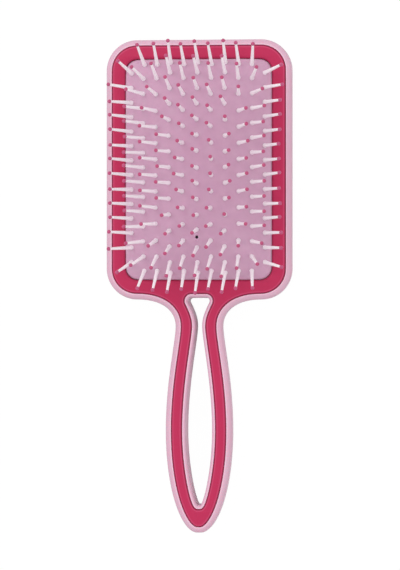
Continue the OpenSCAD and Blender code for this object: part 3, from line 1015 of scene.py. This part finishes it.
@dataclass(frozen=True)
class Column:
    """A column of pins, placed on the solids of the frame's own column.

    In the corner column, the first and the last pin turn up and towards their corners by shares
    of a pin's length.
    """

    number: int
    length: float = 19 * MM
    root: float = 1.6 * MM
    bite: float = 0.3 * MM
    knob_r: float = 1.22 * MM
    knob_z: float = 0.75 * MM
    knob_l: float = 0.75 * MM
    shaft_r: float = 0.97 * MM
    point_r: float = 0.58 * MM
    ball_r: float = 0.96 * MM
    sides: int = 12
    rings: int = 9
    ball_rings: int = 7
    crowding: float = 1.7
    wobble: float = 0.022
    seed: int = 7
    corner_column: int = 1
    corner_in: float = 0.26
    corner_along: float = 0.11
    end_within: float = 0.1 * MM
    axis_passes: int = 3

    @property
    def label(self) -> str:
        """Its number in two digits."""
        return f"{self.number:02d}"

    @property
    def body(self) -> str:
        """The body that it rides on."""
        return f"column_{self.label}"

    def axes(self, node: Object) -> list[tuple[Vector, Vector]]:
        """Where the frame's pins stand and which way they point.

        Args:
            node: The frame's column of pins.

        Returns:
            The foot and the direction of each, in order along the brush.
        """
        work = bmesh.new()
        work.from_mesh(node.data)
        bmesh.ops.remove_doubles(work, verts=work.verts, dist=MERGE_WITHIN)
        left = set(work.verts)
        found = []
        for first in work.verts:
            if first not in left:
                continue
            left.remove(first)
            piece, edge = [first], [first]
            while edge:
                vert = edge.pop()
                near = [e.other_vert(vert) for e in vert.link_edges]
                fresh = [v for v in near if v in left]
                left.difference_update(fresh)
                piece += fresh
                edge += fresh
            found.append(self.axis([v.co.copy() for v in piece]))
        work.free()
        return sorted(found, key=lambda pin: pin[0].y)

    def axis(self, points: list[Vector]) -> tuple[Vector, Vector]:
        """A pin's foot and direction, from the middles of its two flat ends.

        Args:
            points: The corners of its mesh.

        Returns:
            The foot on the rubber and the direction towards the tip.
        """
        top = max(points, key=lambda p: p.z)
        bottom = max(points, key=lambda p: (p - top).length_squared)
        along = (top - bottom).normalized()
        for _ in range(self.axis_passes):
            ends = []
            for end in (min(p.dot(along) for p in points), max(p.dot(along) for p in points)):
                rim = [p for p in points if abs(p.dot(along) - end) < self.end_within]
                ends.append(sum(rim, Vector()) / len(rim))
            along = (ends[1] - ends[0]).normalized()
        return ends[1] - along * (self.length + self.bite), along

    def places(self, node: Object) -> Object:
        """A mesh of points at the pins' feet, each with its aim."""
        feet, aims = zip(*self.axes(node))
        if self.number == self.corner_column:
            for end, side in ((0, -1), (-1, 1)):
                aims[end].xy += Vector((self.corner_in, side * self.corner_along))
        obj = mesh_object(f"feet_{self.label}", feet, [])
        stored = obj.data.attributes.new(AIM, "FLOAT_VECTOR", "POINT")
        stored.data.foreach_set("vector", [c for aim in aims for c in aim.normalized()])
        return obj

    def shaft(self, tree: Tree) -> NodeSocket:
        """A pin along +Z from its foot: a round knob that tapers into the shaft."""
        length, root, knob_r, shaft_r, point_r = tree.numbers(
            length=self.length + self.bite, root=self.root, knob_radius=self.knob_r,
            shaft_radius=self.shaft_r, point_radius=self.point_r)
        line = tree.node("GeometryNodeCurvePrimitiveLine").outputs["Curve"]
        points = tree.node("GeometryNodeResampleCurve", Curve=line, Count=self.rings)
        share = Value(tree.group, tree.node("GeometryNodeSplineParameter").outputs["Factor"])
        height = share ** self.crowding * (length + root) - root
        placed = tree.shift(points.outputs["Curve"], "Position", Z=height)
        _, _, z = tree.place()
        swell = ((z - self.knob_z) / self.knob_l) ** 2.0
        knob = (knob_r - shaft_r) * (swell * -1.0).math("EXPONENT")
        radius = shaft_r + (point_r - shaft_r) * (z / length) + knob
        circle = tree.node("GeometryNodeCurvePrimitiveCircle", Resolution=self.sides, Radius=1.0)
        tube = tree.node("GeometryNodeCurveToMesh", Curve=placed, Scale=radius,
                         Profile_Curve=circle.outputs["Curve"], Fill_Caps=True)
        return tube.outputs["Mesh"]

    def ball(self, tree: Tree) -> NodeSocket:
        """A ball at a pin's length above its foot."""
        length, ball_r = tree.numbers(length=self.length, ball_radius=self.ball_r)
        sphere = tree.node("GeometryNodeMeshUVSphere", Segments=self.sides,
                           Rings=self.ball_rings, Radius=ball_r)
        place = tree.node("ShaderNodeCombineXYZ", Z=length)
        moved = tree.node("GeometryNodeTransform", Geometry=sphere.outputs["Mesh"],
                          Translation=place.outputs["Vector"])
        return moved.outputs["Geometry"]

    def build(self, feet: Object, part: Part, finish: Material) -> Object:
        """Put one part at each foot.

        Args:
            feet: The points that they stand on, which are removed.
            part: Which part it is.
            finish: Its material.

        Returns:
            The column of that part, as one mesh.
        """
        tree = Tree(f"{part.value}_column")
        wobble = tree.setting("Wobble", self.wobble)
        seed = tree.setting("Seed", self.seed + self.number, "NodeSocketInt")
        shape = self.shaft(tree) if part is Part.SHAFT else self.ball(tree)
        vectors = {"data_type": "FLOAT_VECTOR"}
        aim = tree.node("GeometryNodeInputNamedAttribute", vectors, Name=AIM)
        chance = tree.node("FunctionNodeRandomValue", vectors, Seed=seed,
                           Min=(-1, -1, -1), Max=(1, 1, 1))
        sway = tree.node("ShaderNodeVectorMath", {"operation": "SCALE"},
                         Vector=chance.outputs[0], Scale=wobble)
        lean = tree.node("ShaderNodeVectorMath", {"operation": "ADD"}, Vector=aim.outputs[0])
        tree.group.links.new(sway.outputs[0], lean.inputs[1])
        turn = tree.node("FunctionNodeAlignRotationToVector", {"axis": "Z"}, Vector=lean.outputs[0])
        spread = tree.node("GeometryNodeInstanceOnPoints", Points=tree.start.outputs["Geometry"],
                           Instance=shape, Rotation=turn.outputs["Rotation"])
        made = tree.node("GeometryNodeRealizeInstances", Geometry=spread.outputs["Instances"])
        for kind, inputs in (("ShadeSmooth", {}), ("Material", {"Material": finish})):
            made = tree.node(f"GeometryNodeSet{kind}", Geometry=made.outputs["Geometry"], **inputs)
        return tree.apply(feet, made.outputs["Geometry"], f"{part.value}_{self.label}")


# Studio


@dataclass(frozen=True)
class Lamp:
    """A square soft light that looks at the brush."""

    name: str
    place: tuple[float, float, float]
    size: float
    power: float

    def build(self, target: Vector) -> None:
        """Put it in the scene, turned to the target."""
        light = bpy.data.lights.new(self.name, "AREA")
        light.size = self.size
        light.energy = self.power
        obj = link(bpy.data.objects.new(self.name, light))
        obj.location = self.place
        obj.rotation_euler = (target - Vector(self.place)).to_track_quat("-Z", "Y").to_euler()


@dataclass(frozen=True)
class Studio:
    """A white table under soft light, and a camera above it, a little to the right."""

    target: tuple[float, float, float] = (-0.5 * MM, 0.56 * MM, 0.0)
    distance: float = 1.45
    side_angle: float = 5.7
    lens: float = 186.8
    film_h: float = 36.0
    floor_half: float = 3.0
    floor_drop: float = 0.1 * MM
    floor_white: float = 0.93
    floor_glow: float = 1.05
    floor_grey: float = 0.45
    sky: float = 0.85
    lamps: tuple[Lamp, ...] = (
        Lamp("key", (-1.0, 0.8, 1.1), 1.4, 7.9),
        Lamp("fill", (1.1, 0.2, 1.1), 1.4, 3.4),
    )

    def build(self) -> None:
        """Make the camera, the lights and the floor."""
        target = Vector(self.target)
        for lamp in self.lamps:
            lamp.build(target)
        self.camera(target)
        self.world()
        self.floor()
        bpy.context.scene.view_settings.view_transform = "Standard"

    def camera(self, target: Vector) -> None:
        """Place the camera and make it the scene's."""
        data = bpy.data.cameras.new("camera")
        data.sensor_fit = "VERTICAL"
        data.sensor_height = self.film_h
        data.lens = self.lens
        obj = link(bpy.data.objects.new("camera", data))
        turn = Matrix.Rotation(math.radians(self.side_angle), 4, "Y")
        away = Matrix.Translation((0, 0, self.distance))
        obj.matrix_world = Matrix.Translation(target) @ turn @ away
        bpy.context.scene.camera = obj

    @staticmethod
    def seen(tree: NodeTree) -> Value:
        """A mask of 1 for what the camera, a reflection or a refraction sees."""
        path = add_node(tree, "ShaderNodeLightPath")
        camera, glossy, through = (Value(tree, path.outputs[f"Is {ray} Ray"])
                                   for ray in ("Camera", "Glossy", "Transmission"))
        return camera.math("MAXIMUM", glossy).math("MAXIMUM", through)

    def world(self) -> None:
        """White where it is seen, and a dimmer sky where it only lights."""
        world = bpy.data.worlds.new("sky")
        world.use_nodes = True
        bpy.context.scene.world = world
        tree = world.node_tree
        strength = add_node(tree, "ShaderNodeMapRange", Value=self.seen(tree),
                            To_Min=self.sky, To_Max=1.0)
        feed(tree, tree.nodes["Background"], Color=(1, 1, 1, 1),
             Strength=strength.outputs["Result"])

    def floor(self) -> None:
        """A white floor that keeps a faint shadow."""
        half, low = self.floor_half, -self.floor_drop
        corners = [(-half, -half, low), (half, -half, low), (half, half, low), (-half, half, low)]
        obj = mesh_object("floor", corners, [(0, 1, 2, 3)])
        finish = bpy.data.materials.new("white_floor")
        finish.use_nodes = True
        tree = finish.node_tree
        shader = tree.nodes["Principled BSDF"]
        feed(tree, shader, Base_Color=(self.floor_grey,) * 3 + (1,), Roughness=1.0,
             Specular_IOR_Level=0.0)
        glow = add_node(tree, "ShaderNodeEmission", Strength=self.floor_glow)
        mix = add_node(tree, "ShaderNodeMixShader", Fac=self.seen(tree) * self.floor_white)
        tree.links.new(shader.outputs[0], mix.inputs[1])
        tree.links.new(glow.outputs[0], mix.inputs[2])
        feed(tree, tree.nodes["Material Output"], Surface=mix.outputs[0])
        obj.data.materials.append(finish)


# Assembly


def build_body(plan: Plan) -> None:
    """Make and seat the shell and the trim plate."""
    rim_z, plate_z = (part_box(node)[1][2] for node in ("shell", "trim"))
    plate = Trim(plan, plate_z)
    shell = dress(Shell(plan, rim_z, plate.low).build(), PINK_PLASTIC.material())
    trim = dress(plate.build(), MAGENTA_PLASTIC.material())
    for piece, node in ((shell, "shell"), (trim, "trim")):
        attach(piece, Body.HANDLE.value)
        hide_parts(node)
        LOG.info("%s replaces %s", piece.name, node)


def build_pins(frame: dict) -> list[Object]:
    """Make and seat the columns of pins and their ball tips.

    Args:
        frame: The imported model.

    Returns:
        A mesh of points for each column, at the feet of its pins.
    """
    nylon, magenta = WHITE_NYLON.material(), MAGENTA_BALL.material()
    kept = []
    for number in range(1, COLUMNS + 1):
        column = Column(number)
        places = column.places(frame["nodes"][f"pins_{column.label}"])
        for part, finish, slot in ((Part.SHAFT, nylon, Slot.PINS), (Part.BALL, magenta, Slot.TIPS)):
            feet = places.copy()
            feet.data = places.data.copy()
            piece = column.build(link(feet), part, finish)
            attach(piece, column.body)
            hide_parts(f"{slot.value}_{column.label}")
            LOG.info("%s: %d faces", piece.name, len(piece.data.polygons))
        kept.append(places)
    return kept


def build_cushion(plan: Plan, feet: list[Object]) -> None:
    """Make and seat the cushion.

    Args:
        plan: The brush from above.
        feet: Points at the feet of the pins, which are removed.
    """
    low, high = (Vector(corner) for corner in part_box("cushion"))
    cushion = Cushion(plan, low, high)
    targets = mesh_object("all_feet", [v.co.copy() for obj in feet for v in obj.data.vertices], [])
    piece = dress(cushion.build(targets), PINK_RUBBER.material())
    for obj in (*feet, targets):
        bpy.data.objects.remove(obj)
    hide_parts("cushion")
    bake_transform(piece)
    LOG.info("%s: %d faces", piece.name, len(piece.data.polygons))


def main() -> None:
    """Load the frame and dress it."""
    logging.basicConfig(level=logging.INFO, format="%(name)s: %(message)s")
    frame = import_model()
    low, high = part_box("shell")
    plan = Plan(head_x=high[0], top_y=high[1], end_y=low[1])
    build_body(plan)
    feet = build_pins(frame)
    build_cushion(plan, feet)
    Studio().build()


if __name__ == "__main__":
    main()
